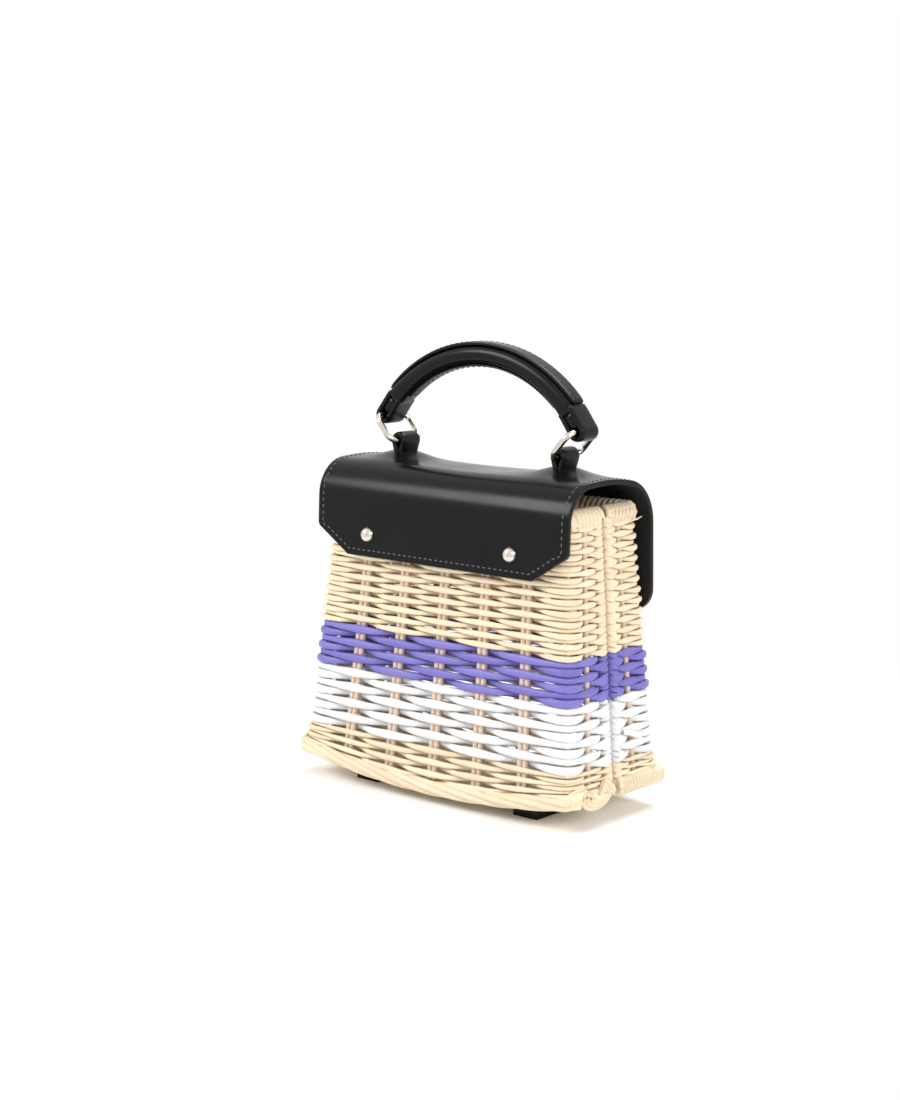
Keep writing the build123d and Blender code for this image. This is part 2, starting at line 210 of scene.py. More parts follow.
def leather_skin_group():
    """Smooth leather: fine grain, rub marks and slow waves."""
    values = {"Hide": "Color", "Rubbed": "Color", "Grain Scale": "Float", "Sheen Level": "Float"}
    tree, source = new_group("Leather skin", "ShaderNodeTree", values, SKIN_OUTPUTS)
    place = object_place(tree)
    pores = {"Vector": place, "Scale": source["Grain Scale"]}
    grain = add_node(tree, "ShaderNodeTexVoronoi", pores, feature="SMOOTH_F1").outputs["Distance"]
    wave = noise(tree, place, 55.0, 5.0)
    add_node(tree, "NodeGroupOutput", {
        "Color": mixed(tree, wave, source["Hide"], source["Rubbed"]),
        "Roughness": maths(tree, "MULTIPLY_ADD", wave, 0.16, source["Sheen Level"]),
        "Height": maths(tree, "MULTIPLY_ADD", grain, 0.35, wave),
    })
    return tree


# Materials
def new_material(name):
    material = bpy.data.materials.new(name)
    material.use_nodes = True
    return material, material.node_tree, material.node_tree.nodes["Principled BSDF"]


def skin_material(name, group, first, second, level, shine, bump_strength, bump_distance, specular):
    """A finish of one skin: its four inputs in turn, the bump under it and its specular level."""
    material, tree, shader = new_material(name)
    values = dict(enumerate(((*first, 1), (*second, 1), level, shine)))
    skin = add_node(tree, "ShaderNodeGroup", values, node_tree=group).outputs
    relief = {"Height": skin["Height"], "Strength": bump_strength, "Distance": bump_distance}
    feed(tree, shader, {
        "Base Color": skin["Color"],
        "Roughness": skin["Roughness"],
        "Normal": add_node(tree, "ShaderNodeBump", relief).outputs["Normal"],
        "Specular IOR Level": specular,
    })
    return material


def plated_metal_material():
    material, tree, shader = new_material("pale_gold_plating")
    wear = noise(tree, object_place(tree), 260.0, 6.0)
    rough = add_node(tree, "ShaderNodeMapRange", {"Value": wear, "To Min": 0.08, "To Max": 0.22})
    feed(tree, shader, {
        "Base Color": mixed(tree, wear, (0.80, 0.76, 0.67, 1), (0.58, 0.53, 0.44, 1)),
        "Roughness": rough.outputs["Result"],
        "Metallic": 1.0,
    })
    return material


reed_skin = reed_skin_group()
leather_skin = leather_skin_group()
natural_reed = skin_material(
    "natural_reed", reed_skin, (0.87, 0.76, 0.56), (0.74, 0.56, 0.37), 0.6, 0.38, 0.35, 0.0002, 0.4
)
stake_reed = skin_material(
    "stake_reed", reed_skin, (0.80, 0.63, 0.50), (0.58, 0.40, 0.29), 0.5, 0.42, 0.35, 0.0002, 0.3
)
blue_reed = skin_material(
    "blue_reed", reed_skin, (0.20, 0.175, 0.52), (0.115, 0.095, 0.36), 0.4, 0.3, 0.25, 0.0002, 0.45
)
white_reed = skin_material(
    "white_reed", reed_skin, (0.80, 0.80, 0.80), (0.68, 0.67, 0.66), 0.35, 0.34, 0.25, 0.0002, 0.4
)
grey_thread = skin_material(
    "grey_thread", reed_skin, (0.13, 0.13, 0.135), (0.065, 0.065, 0.07), 0.4, 0.5, 0.3, 0.0001, 0.3
)
dark_thread = skin_material(
    "dark_thread", reed_skin, (0.085, 0.083, 0.085), (0.04, 0.04, 0.042), 0.4, 0.45, 0.3, 0.0001, 0.3
)
black_leather = skin_material(
    "black_leather", leather_skin, (0.0035, 0.0035, 0.0042), (0.007, 0.0065, 0.007),
    1500.0, 0.15, 0.08, 0.0002, 0.17,
)
leather_back = skin_material(
    "leather_back", leather_skin, (0.012, 0.011, 0.011), (0.026, 0.024, 0.023),
    2600.0, 0.72, 0.35, 0.0003, 0.1,
)
pale_metal = plated_metal_material()


# Geometry node trees: strands swept along their routes, and stitches set along a seam
def end_tree(tree, shape, material):
    """Ends a geometry tree with its result realized, shaded smooth and given its material."""
    real = add_node(tree, "GeometryNodeRealizeInstances", {"Geometry": shape})
    shade = add_node(tree, "GeometryNodeSetShadeSmooth", {"Geometry": real.outputs["Geometry"]})
    dressed = {"Geometry": shade.outputs["Geometry"], "Material": material}
    finish = add_node(tree, "GeometryNodeSetMaterial", dressed)
    add_node(tree, "NodeGroupOutput", {"Geometry": finish.outputs["Geometry"]})


def strand_tree():
    """Sweeps a reed along every run of edges; its height over its thickness is the spread."""
    inputs = {"Routes": "Geometry", "Sides": "Int", "Finish": "Material"}
    tree, source = new_group("Woven strand", "GeometryNodeTree", inputs, {"Geometry": "Geometry"})

    def stored(name):
        reader = add_node(tree, "GeometryNodeInputNamedAttribute", {"Name": name}, data_type="FLOAT")
        return reader.outputs["Attribute"]

    route = add_node(tree, "GeometryNodeMeshToCurve", {"Mesh": source["Routes"]})
    upright = add_node(tree, "GeometryNodeSetCurveNormal", {"Curve": route.outputs["Curve"]}, mode="Z_UP")
    ring = {"Resolution": source["Sides"], "Radius": 1.0}
    sweep = add_node(tree, "GeometryNodeCurveToMesh", {
        "Curve": upright.outputs["Curve"],
        "Profile Curve": add_node(tree, "GeometryNodeCurvePrimitiveCircle", ring).outputs["Curve"],
        "Scale": stored("thickness"),
        "Fill Caps": True,
    })
    place = add_node(tree, "GeometryNodeInputPosition").outputs["Position"]
    height = add_node(tree, "ShaderNodeSeparateXYZ", {"Vector": place}).outputs["Z"]
    above = maths(tree, "SUBTRACT", height, stored("level"))
    extra = maths(tree, "SUBTRACT", stored("spread"), 1.0)
    offset = add_node(tree, "ShaderNodeCombineXYZ", {"Z": maths(tree, "MULTIPLY", above, extra)})
    moved = {"Geometry": sweep.outputs["Mesh"], "Offset": offset.outputs["Vector"]}
    stretch = add_node(tree, "GeometryNodeSetPosition", moved)
    end_tree(tree, stretch.outputs["Geometry"], source["Finish"])
    return tree


def stitch_tree():
    """Sets short stitches along a seam, one each pitch."""
    sizes = {"Pitch": "Float", "Stitch Length": "Float", "Thread Radius": "Float"}
    inputs = {"Seam": "Geometry", **sizes, "Finish": "Material"}
    tree, source = new_group("Seam stitches", "GeometryNodeTree", inputs, {"Geometry": "Geometry"})
    route = add_node(tree, "GeometryNodeMeshToCurve", {"Mesh": source["Seam"]})
    spaced = {"Curve": route.outputs["Curve"], "Length": source["Pitch"]}
    steps = add_node(tree, "GeometryNodeResampleCurve", spaced, mode="LENGTH")
    along = add_node(tree, "GeometryNodeInputTangent").outputs["Tangent"]
    turn = add_node(tree, "FunctionNodeAlignRotationToVector", {"Vector": along}, axis="X")
    ball = add_node(tree, "GeometryNodeMeshUVSphere", {"Segments": 6, "Rings": 5, "Radius": 1.0})
    half = maths(tree, "MULTIPLY", source["Stitch Length"], 0.5)
    thread = source["Thread Radius"]
    size = add_node(tree, "ShaderNodeCombineXYZ", {"X": half, "Y": thread, "Z": thread})
    stitches = add_node(tree, "GeometryNodeInstanceOnPoints", {
        "Points": steps.outputs["Curve"],
        "Rotation": turn.outputs["Rotation"],
        "Instance": ball.outputs["Mesh"],
        "Scale": size.outputs["Vector"],
    })
    end_tree(tree, stitches.outputs["Instances"], source["Finish"])
    return tree


strands_of_reed = strand_tree()
stitches_of_thread = stitch_tree()


def link_mesh(name, verts, edges=(), faces=()):
    mesh = bpy.data.meshes.new(name)
    mesh.from_pydata([Vector(v) * MM for v in verts], list(edges), list(faces))
    piece = bpy.data.objects.new(name, mesh)
    bpy.context.scene.collection.objects.link(piece)
    return piece


def settle(piece):
    """Turns a piece with modifiers into a plain mesh."""
    graph = bpy.context.evaluated_depsgraph_get()
    made = bpy.data.meshes.new_from_object(
        piece.evaluated_get(graph), preserve_all_data_layers=True, depsgraph=graph
    )
    piece.modifiers.clear()
    drawn = piece.data
    piece.data = made
    bpy.data.meshes.remove(drawn)
    made.name = piece.name
    return piece


def round_edges(piece, width, angle):
    """Rounds off the edges that turn by more than an angle in degrees, and settles the piece."""
    edge = piece.modifiers.new("edge", "BEVEL")
    edge.width = width * MM
    edge.segments = 3
    edge.limit_method = "ANGLE"
    edge.angle_limit = math.radians(angle)
    settle(piece)


def run_tree(piece, tree, values):
    modifier = piece.modifiers.new("make", "NODES")
    modifier.node_group = tree
    for item in tree.interface.items_tree:
        if item.in_out == "INPUT" and item.name in values:
            modifier[item.identifier] = values[item.name]
    return settle(piece)


class Routes:
    """Runs of points for the strands of one piece, each with its thickness, spread and tone."""

    def __init__(self):
        self.points = []
        self.edges = []
        self.thickness = []
        self.spread = []
        self.tone = []

    def add_run(self, points, thickness, spread=1.0, tone=0.5):
        first = len(self.points)
        for number, point in enumerate(points):
            self.points.append(point)
            for values, value in ((self.thickness, thickness), (self.spread, spread), (self.tone, tone)):
                values.append(value[number] if isinstance(value, list) else value)
            if number:
                self.edges.append((first + number - 1, first + number))

    def make(self, name, material, sides=8):
        piece = link_mesh(name, self.points, self.edges)
        for label, values, scale in (
            ("thickness", self.thickness, MM),
            ("spread", self.spread, 1.0),
            ("tone", self.tone, 1.0),
            ("level", [p[2] for p in self.points], MM),
        ):
            layer = piece.data.attributes.new(label, "FLOAT", "POINT")
            layer.data.foreach_set("value", [v * scale for v in values])
        return run_tree(piece, strands_of_reed, {"Sides": sides, "Finish": material})


def seam(name, points, thread, radius, length=2.1, closed=False):
    edges = [(n, n + 1) for n in range(len(points) - 1)]
    if closed:
        edges.append((len(points) - 1, 0))
    piece = link_mesh(name, points, edges)
    sizes = {"Pitch": STITCH_PITCH, "Stitch Length": length, "Thread Radius": radius}
    values = {label: size * MM for label, size in sizes.items()}
    return run_tree(piece, stitches_of_thread, {**values, "Finish": thread})


def route_lengths(route):
    """Length along a route up to each of its points."""
    lengths = [0.0]
    for a, b in zip(route, route[1:]):
        lengths.append(lengths[-1] + (b - a).length)
    return lengths


def spot_along(lengths, want):
    """The stretch of a route that a length falls in, and the share of that stretch."""
    last = len(lengths) - 1
    spot = next((n for n in range(1, last + 1) if lengths[n] >= want), last)
    return spot, (want - lengths[spot - 1]) / (lengths[spot] - lengths[spot - 1])


# Weave
def plan_lengths(height):
    """Lengths of the end wall, the bend and the long wall along the middle of the wall."""
    x_mid = half_width_at(height) - WALL_MIDDLE
    y_mid = half_depth_at(height) - WALL_MIDDLE
    return y_mid - CORNER_BEND - POST_Y, CORNER_BEND * math.pi / 2, 2 * (x_mid - CORNER_BEND)


def plan_point(length, height):
    """Place in plan and outward direction at a length along the wall, from the post at -X."""
    x_mid = half_width_at(height) - WALL_MIDDLE
    y_mid = half_depth_at(height) - WALL_MIDDLE
    end_run, bend, face_run = plan_lengths(height)
    if length < end_run:
        return Vector((-x_mid, POST_Y + length)), Vector((-1, 0))
    length -= end_run
    if length < bend:
        out = Vector((-math.cos(length / CORNER_BEND), math.sin(length / CORNER_BEND)))
        return Vector((CORNER_BEND - x_mid, y_mid - CORNER_BEND)) + out * CORNER_BEND, out
    length -= bend
    if length < face_run:
        return Vector((CORNER_BEND - x_mid + length, y_mid)), Vector((0, 1))
    length -= face_run
    if length < bend:
        out = Vector((math.sin(length / CORNER_BEND), math.cos(length / CORNER_BEND)))
        return Vector((x_mid - CORNER_BEND, y_mid - CORNER_BEND)) + out * CORNER_BEND, out
    length -= bend
    return Vector((x_mid, y_mid - CORNER_BEND - length)), Vector((1, 0))


def station_lengths(height):
    """Lengths at which the posts, end stakes, corners and long-wall stakes stand."""
    end_run, bend, face_run = plan_lengths(height)
    ratio = half_width_at(height) / HALF_WIDTH
    start = end_run + bend + face_run / 2
    stakes = [start + index * STAKE_SPACING * ratio for index in STAKE_INDICES]
    total = 2 * (end_run + bend) + face_run
    left = [0, end_run * 0.52, end_run + bend / 2]
    return left + stakes + [total - length for length in reversed(left)]


# For each station: the strand's place when it passes outside and inside, and its height there
# in half rows. Between stations its height is the share MID_SPAN of half a row.
FACE_STAKE = (2.3, -2.3, 1.24, 1.0)
CORNER = (2.2, 0.9, 1.14, 0.98)
TIGHT_CORNER = (2.3, 0.8, 1.14, 0.96)
END_STAKE = (1.7, -1.5, 1.3, 1.0)
POST = (1.9, -1.9, 1.9, 1.9)
SPAN_STEPS = [6, 6, 9, 11, 11, 11, 11, 9, 6, 6]
MID_SPAN = 0.92
MOVES_OUT, MOVES_IN, MOVE_RUN = 0.06, 0.34, 0.6
SWING_SCATTER = 0.2
LIFT_SCATTER = 0.25
DARKEST_TONE = 0.42
ROW_OVERLAP = 1.2

TURN_STEPS = 5
WRAP_STEPS = 10
POST_WRAP = 1.2
POST_WRAP_OUT, POST_WRAP_ALONG = 2.2, 2.0
ROD_RADIUS, CORNER_ROD_RADIUS = 1.4, 0.8

# Bottom, top, number of rows, number of its first row, thickness of its strand, material
BANDS = {
    "lower": (8.5, 27.5, 6, 0, 1.2, natural_reed),
    "white": (27.5, 58.5, 8, 6, 1.2, white_reed),
    "blue": (58.5, 80.0, 6, 14, 1.2, blue_reed),
    "upper": (80.0, 144.0, 25, 20, 1.15, natural_reed),
}


def bow_height(x):
    """Height of the border's middle, which bows down between the corners."""
    rise = BOW_CORNER - BOW_MIDDLE
    radius = (BORDER_REACH**2 + rise**2) / (2 * rise)
    return BOW_MIDDLE + radius - math.sqrt(radius**2 - min(abs(x), BORDER_REACH) ** 2)


def row_level(band, row, x):
    """Height of the middle of a row and the height it has to itself."""
    bottom, top, rows = BANDS[band][:3]
    if band == "lower":
        bottom = bow_height(x) + BORDER_RADIUS - ROW_OVERLAP
    pitch = (top - bottom) / rows
    return bottom + (row + 0.5) * pitch, pitch


def between_stakes(here, there, part):
    """Swing, height share and lift part of the way from one stake to the next. A strand
    stays at the face for most of the way, and ducks in close to the stake it passes behind."""
    start = MOVES_IN if here[0] > there[0] else MOVES_OUT
    swing = here[0] + (there[0] - here[0]) * smooth((part - start) / MOVE_RUN)
    if part < 0.5:
        height = here[1] + (MID_SPAN - here[1]) * smooth(part / 0.5)
    else:
        height = MID_SPAN + (there[1] - MID_SPAN) * smooth((part - 0.5) / 0.5)
    return swing, height, here[2] + (there[2] - here[2]) * part


def woven_strand(band, side):
    """One long strand that weaves to and fro from post to post, a row at a time."""
    bottom, top, rows, first_row, thickness = BANDS[band][:5]
    strand = []
    for row in range(rows):
        number = first_row + row
        tone = random.uniform(0.0, DARKEST_TONE)
        level = bottom + (row + 0.5) * (top - bottom) / rows
        stations = station_lengths(level)
        corner = TIGHT_CORNER if band == "upper" else CORNER
        kinds = [POST, END_STAKE, corner] + [FACE_STAKE] * len(STAKE_INDICES) + [corner, END_STAKE, POST]
        swings = []
        for place, (outside, inside, tall, low) in enumerate(kinds):
            out = (number + place - 3) % 2
            swing = (outside if out else inside) + random.uniform(-SWING_SCATTER, SWING_SCATTER)
            lift = random.uniform(-LIFT_SCATTER, LIFT_SCATTER)
            swings.append((swing, tall if out else low, lift))
        run = []
        for span, steps in enumerate(SPAN_STEPS):
            for step in range(steps + (span == len(SPAN_STEPS) - 1)):
                part = step / steps
                length = stations[span] + (stations[span + 1] - stations[span]) * part
                swing, height_share, lift = between_stakes(swings[span], swings[span + 1], part)
                place, out = plan_point(length, level)
                middle, pitch = row_level(band, row, place.x)
                place = place + out * swing
                spread = height_share * pitch / 2 / thickness
                run.append((place.x, side * place.y, middle + lift * pitch / 3, spread, tone))
        if number % 2:
            run.reverse()
        if strand:
            last, following = strand[-1], run[0]
            post = (last[0] + following[0]) / 2
            radius = abs(last[0] - following[0]) / 2
            outwards = 1 if last[0] > post else -1
            for step in range(1, TURN_STEPS):
                share = step / TURN_STEPS
                strand.append((
                    post + outwards * radius * math.cos(math.pi * share),
                    side * (POST_Y - radius * math.sin(math.pi * share)),
                    last[2] + (following[2] - last[2]) * share,
                    last[3],
                    tone,
                ))
        strand += run
    *route, spreads, tones = (list(values) for values in zip(*strand))
    routes = Routes()
    routes.add_run(list(zip(*route)), thickness, spreads, tones)
    post_wraps(bottom, top, side, routes)
    return routes


def post_wraps(bottom, top, side, routes):
    """Short wraps stacked round the two posts at the split."""
    low = max(bottom + POST_WRAP / 2, BOW_CORNER + 2)
    steps = int((top - POST_WRAP / 2 - low) / WRAP_PITCH * WRAP_STEPS)
    for end in (-1, 1):
        wraps = []
        for step in range(steps + 1):
            angle = 2 * math.pi * step / WRAP_STEPS
            height = low + WRAP_PITCH * step / WRAP_STEPS
            across = half_width_at(height) - WALL_MIDDLE + POST_WRAP_OUT * math.cos(angle)
            wraps.append((end * across, side * (POST_Y - POST_WRAP_ALONG * math.sin(angle)), height))
        routes.add_run(wraps, POST_WRAP, 1.08, 0.25)


def end_stakes(side):
    """Rods inside the corners and the end walls."""
    routes = Routes()
    low, high, steps = 15.0, RIM_HEIGHT - 1, 13
    for place, radius in ((1, ROD_RADIUS), (2, CORNER_ROD_RADIUS), (8, CORNER_ROD_RADIUS), (9, ROD_RADIUS)):
        run = []
        for step in range(steps + 1):
            height = low + step * (high - low) / steps
            spot = plan_point(station_lengths(height)[place], height)[0]
            run.append((spot.x, side * spot.y, height))
        routes.add_run(run, radius, 1.0, random.uniform(0.1, 0.4))
    return routes


def wound_roll(route, outs, thickness, across, upright, pitch, routes):
    """Winds a strand round a level roll that follows a route, with a core inside."""
    lengths = route_lengths(route)
    turns = lengths[-1] / pitch
    steps = int(turns * WRAP_STEPS)
    run = []
    for step in range(steps + 1):
        want = lengths[-1] * step / steps
        spot, share = spot_along(lengths, want)
        middle = route[spot - 1].lerp(route[spot], share)
        out = outs[spot - 1].lerp(outs[spot], share).normalized()
        angle = 2 * math.pi * turns * step / steps
        run.append(middle + out * (across * math.cos(angle)) + Vector((0, 0, upright * math.sin(angle))))
    tones = [0.15 + 0.15 * math.sin(n / 23) for n in range(len(run))]
    routes.add_run(run, thickness, 1.0, tones)
    routes.add_run(route, across, upright / across, 0.4)


def rim_route(height, inset, side):
    """Middle of the rim's roll, from post to post, and its outward directions."""
    x_end = half_width_at(height) - inset
    y_end = half_depth_at(height) - inset
    bend, steps = 2.0, 5
    corners = [(-x_end, SPLIT_GAP + RIM_END_GAP), (-x_end, y_end - bend)]
    for step in range(1, steps):
        angle = math.pi / 2 * step / steps
        corners.append((-x_end + bend - bend * math.cos(angle), y_end - bend + bend * math.sin(angle)))
    corners.append((bend - x_end, y_end))
    flat = [Vector((x, side * y, height)) for x, y in corners]
    route = flat + [Vector((-p.x, p.y, p.z)) for p in reversed(flat)]
    outs = []
    for n in range(len(route)):
        along = route[min(n + 1, len(route) - 1)] - route[max(n - 1, 0)]
        outs.append(Vector((-along.y, along.x, 0)).normalized() * side)
    return route, outs


def rolled_border(side):
    """Rope of long reeds under the long wall, and a wound roll or curls under each end."""
    y_line = half_depth_at(BOW_MIDDLE) + BORDER_PROUD - BORDER_RADIUS
    routes = Routes()
    steps = 120
    for reed in range(BORDER_REEDS):
        run = []
        for step in range(steps + 1):
            x = -BORDER_REACH + 2 * BORDER_REACH * step / steps
            angle = 2 * math.pi * (reed / BORDER_REEDS + x / BORDER_TWIST)
            run.append((
                x,
                side * (y_line + ROPE_ACROSS * math.cos(angle)),
                bow_height(x) + ROPE_UPRIGHT * math.sin(angle),
            ))
        for end, tip in ((-1, run[0]), (1, run[-1])):
            reach = BORDER_REACH - 0.3 * reed
            bend = [
                (end * (reach + 2.2), side * (y_line - 2.6), tip[2] + 0.3),
                (end * (reach + 2.0), side * (y_line - 8.0), tip[2] + 0.8 - 0.5 * reed),
            ]
            run = [bend[1], bend[0]] + run if end < 0 else run + bend
        routes.add_run(run, BORDER_REED, 1.15, 0.1 + 0.07 * reed)
    for end in (-1, 1):
        along = (SPLIT_GAP + BORDER_END_GAP, y_line / 2, y_line)
        route = [Vector((end * BORDER_REACH, side * y, BOW_CORNER)) for y in along]
        if side < 0:
            wound_roll(route, [Vector((end, 0, 0))] * 3, BORDER_REED, 2.5, 3.4, WRAP_PITCH, routes)
        else:
            routes.add_run(route, 2.6, 1.2, 0.3)
            curled_ends(end, y_line, routes)
    return routes


def curled_ends(end, y_line, routes):
    """Ends of the border's reeds, laid in curls one inside the other on the end of the rear half."""
    middle = Vector((y_line * 0.46, BOW_CORNER + 0.6))
    steps = 24
    for ring in range(CURLS):
        radius = CURL_RADIUS + CURL_SPACING * ring
        curl = []
        for step in range(steps + 1):
            angle = math.radians(-60 + (250 + 12 * ring) * step / steps)
            curl.append((
                end * (BORDER_REACH + 2.9 - 0.35 * ring),
                middle.x - 1.25 * radius * math.cos(angle),
                middle.y - 0.72 * radius * math.sin(angle),
            ))
        tail = curl[-1]
        curl.append((end * (BORDER_REACH + 1.5), tail[1] + 3.5, tail[2] + 0.8))
        curl.append((end * BORDER_REACH, y_line + 0.6, (tail[2] + BOW_CORNER) / 2))
        routes.add_run(curl, CURL_REED, 1.0, 0.1 + 0.12 * ring)


def weave_half(half, side):
    pieces = []
    for band, values in BANDS.items():
        piece = woven_strand(band, side).make(f"{half}_{band}_strands", values[5])
        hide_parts(f"{half}_{band}_weave")
        pieces.append(piece)
    rods = end_stakes(side).make(f"{half}_end_stakes", stake_reed)
    rim_runs = Routes()
    route, outs = rim_route(RIM_HEIGHT, RIM_INSET, side)
    wound_roll(route, outs, RIM_REED, 3.1, 4.3, RIM_PITCH, rim_runs)
    rim = rim_runs.make(f"{half}_wound_rim", natural_reed)
    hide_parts(f"{half}_rim")
    border = rolled_border(side).make(f"{half}_rolled_border", natural_reed)
    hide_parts(f"{half}_border")
    for piece in pieces + [rods, rim, border]:
        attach(piece, f"{half}_half")


weave_half("rear", 1)
weave_half("front", -1)

# Loose ends of the weave on the end of the front half
splinters = Routes()
splinter_route = [(-73.5, -22, 140.5), (-75.4, -24, 141.2), (-77.0, -25.6, 142.6)]
splinters.add_run(splinter_route, [0.5, 0.4, 0.2], 1.0, 0.3)
splinter = splinters.make("rim_splinter", natural_reed, 6)
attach(splinter, "front_half")
loose = Routes()
loose_route = [(-81.0, -9, 40.5), (-83.2, -12, 40.2), (-84.2, -16, 38.5), (-83.8, -20, 37.0)]
loose.add_run(loose_route, [1.2, 1.35, 1.4, 0.9], 1.1, 0.1)
loose_end = loose.make("loose_white_end", white_reed)
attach(loose_end, "front_half")


# Leather
def fillet_route(corners, radii, step):
    """Points along a run of straight lines with rounded corners."""
    route = [Vector(corners[0])]
    for before, corner, after, radius in zip(corners, corners[1:], corners[2:], radii):
        before, corner, after = Vector(before), Vector(corner), Vector(after)
        to_before = (before - corner).normalized()
        to_after = (after - corner).normalized()
        half_angle = to_before.angle(to_after) / 2
        reach = radius / math.tan(half_angle)
        centre = corner + (to_before + to_after).normalized() * (radius / math.sin(half_angle))
        start = corner + to_before * reach - centre
        finish = corner + to_after * reach - centre
        sweep = start.angle(finish)
        count = max(3, int(radius * sweep / step))
        for n in range(count + 1):
            angle = sweep * n / count
            spoke = start * math.sin(sweep - angle) + finish * math.sin(angle)
            route.append(centre + spoke / math.sin(sweep))
    route.append(Vector(corners[-1]))
    dense = [route[0]]
    for a, b in zip(route, route[1:]):
        parts = max(1, round((b - a).length / step))
        dense += [a.lerp(b, n / parts) for n in range(1, parts + 1)]
    return dense


class FlapSheet:
    """The flap's leather laid out flat: across it, and along it from the rear hem to the front hem."""

    def __init__(self):
        panel_foot = half_depth_at(REAR_BOTTOM) + PANEL_GAP + LEATHER / 2
        hinge_seat = panel_foot - PANEL_DRAW_IN
        slope = PANEL_DRAW_IN / (HINGE_HEIGHT - REAR_BOTTOM)
        front_foot = -half_depth_at(FRONT_BOTTOM) - FRONT_GAP - LEATHER / 2
        front_y = front_foot + (FRONT_CORNER_HEIGHT - FRONT_BOTTOM) * SLOPE / 2
        self.route = fillet_route(
            [
                (panel_foot, REAR_BOTTOM),
                (hinge_seat - slope * (REAR_CORNER_HEIGHT - HINGE_HEIGHT), REAR_CORNER_HEIGHT),
                (0, CROWN_HEIGHT),
                (front_y, FRONT_CORNER_HEIGHT),
                (front_foot, FRONT_BOTTOM),
            ],
            [REAR_FILLET, CROWN_FILLET, FRONT_FILLET],
            1.6,
        )
        self.lengths = route_lengths(self.route)
        self.total = self.lengths[-1]

    def half_width(self, along):
        shoulder = REAR_SHOULDER - REAR_BOTTOM
        if along < shoulder:
            width = REAR_BOTTOM_HALF + (FLAP_HALF_WIDTH - REAR_BOTTOM_HALF) * along / shoulder
            return min(width, REAR_BOTTOM_HALF + 2.4 * math.sqrt(max(along, 0)) + along * 0.9)
        left = self.total - along
        if left < FRONT_CORNER:
            rounded = math.sqrt(max(0, FRONT_CORNER**2 - (FRONT_CORNER - left) ** 2))
            return FLAP_HALF_WIDTH - FRONT_CORNER + rounded
        return FLAP_HALF_WIDTH

    def place(self, across, along, proud=0.0):
        """Point on the sheet; proud is the distance from the leather's middle towards its outside."""
        along = min(max(along, 0), self.total)
        spot, share = spot_along(self.lengths, along)
        middle = self.route[spot - 1].lerp(self.route[spot], share)
        before = self.route[max(spot - 2, 0)]
        after = self.route[min(spot + 1, len(self.route) - 1)]
        run = (after - before).normalized()
        normal = Vector((run.y, -run.x))
        point = middle + normal * proud
        from_tab = math.hypot(abs(across) - TAB_X, middle.x) / TAB_LIFT_REACH
        lift = TAB_LIFT * math.exp(-(from_tab**2))
        sag = CROWN_SAG * math.exp(-((across / SAG_ACROSS) ** 2) - (middle.x / SAG_ALONG) ** 2)
        ripple = RIPPLE * math.sin(across / 19 + along / 31) * smooth((along - 60) / 40)
        top = smooth((middle.y - 150) / 8)
        return Vector((across, point.x + normal.x * ripple, point.y + (lift - sag) * top + normal.y * ripple))


sheet = FlapSheet()


def flap_leather():
    """The flap's sheet given its thickness, with rounded edges and a matt inner side."""
    fine = [0, 0.4, 1.0, 2.0, 3.5]
    steps = 96
    body = [4.5 + (sheet.total - 9) * n / steps for n in range(steps + 1)]
    rows = fine + body + [sheet.total - length for length in reversed(fine)]
    columns = 72
    verts, faces = [], []
    for along in rows:
        width = sheet.half_width(along)
        for n in range(columns + 1):
            share = -math.cos(math.pi * n / columns) * 0.35 + (2 * n / columns - 1) * 0.65
            verts.append(sheet.place(width * share, along, LEATHER / 2))
    for r in range(len(rows) - 1):
        for c in range(columns):
            a = r * (columns + 1) + c
            faces.append((a, a + 1, a + columns + 2, a + columns + 1))
    piece = link_mesh("flap_leather", verts, (), faces)
    outside = piece.data.polygons[len(piece.data.polygons) // 2].normal
    if outside.z < 0:
        piece.data.flip_normals()
    wall = piece.modifiers.new("wall", "SOLIDIFY")
    wall.thickness = LEATHER * MM
    wall.offset = -1
    wall.material_offset = 1
    piece.data.materials.append(black_leather)
    piece.data.materials.append(leather_back)
    round_edges(piece, 0.7, 50)
    piece.data.shade_smooth()
    return piece


def hem_points(inset):
    """Closed line round the flap at an even distance from its edge."""
    line = []
    shoulder = REAR_SHOULDER - REAR_BOTTOM
    steps = 150
    diagonal = math.hypot(FLAP_HALF_WIDTH - REAR_BOTTOM_HALF, shoulder)
    for n in range(steps + 1):
        along = inset + (sheet.total - 2 * inset) * n / steps
        if along < shoulder:
            cut = REAR_BOTTOM_HALF + (FLAP_HALF_WIDTH - REAR_BOTTOM_HALF) * along / shoulder
            cut -= inset * diagonal / shoulder
        else:
            cut = FLAP_HALF_WIDTH - inset
        left = sheet.total - along
        radius = FRONT_CORNER - inset
        if left - inset < radius:
            rounded = math.sqrt(max(0, radius**2 - (radius - (left - inset)) ** 2))
            cut = FLAP_HALF_WIDTH - inset - radius + rounded
        line.append((min(cut, FLAP_HALF_WIDTH - inset), along))
    proud = LEATHER / 2 + STITCH_PROUD
    right = [sheet.place(width, along, proud) for width, along in line]
    left_side = [sheet.place(-width, along, proud) for width, along in reversed(line)]

    def across_hem(along, half):
        count = 40
        return [sheet.place(half - 2 * half * n / count, along, proud) for n in range(1, count)]

    front = across_hem(line[-1][1], line[-1][0])
    rear = [Vector((-p.x, p.y, p.z)) for p in across_hem(line[0][1], line[0][0])]
    return right + front + left_side + rear


flap = flap_leather()
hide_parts("flap", "flap_rear_panel")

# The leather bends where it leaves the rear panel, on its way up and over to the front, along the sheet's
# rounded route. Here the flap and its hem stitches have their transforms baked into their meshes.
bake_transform(flap)
hem = seam("flap_hem_stitches", hem_points(HEM_INSET), grey_thread, HEM_THREAD, closed=True)
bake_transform(hem)


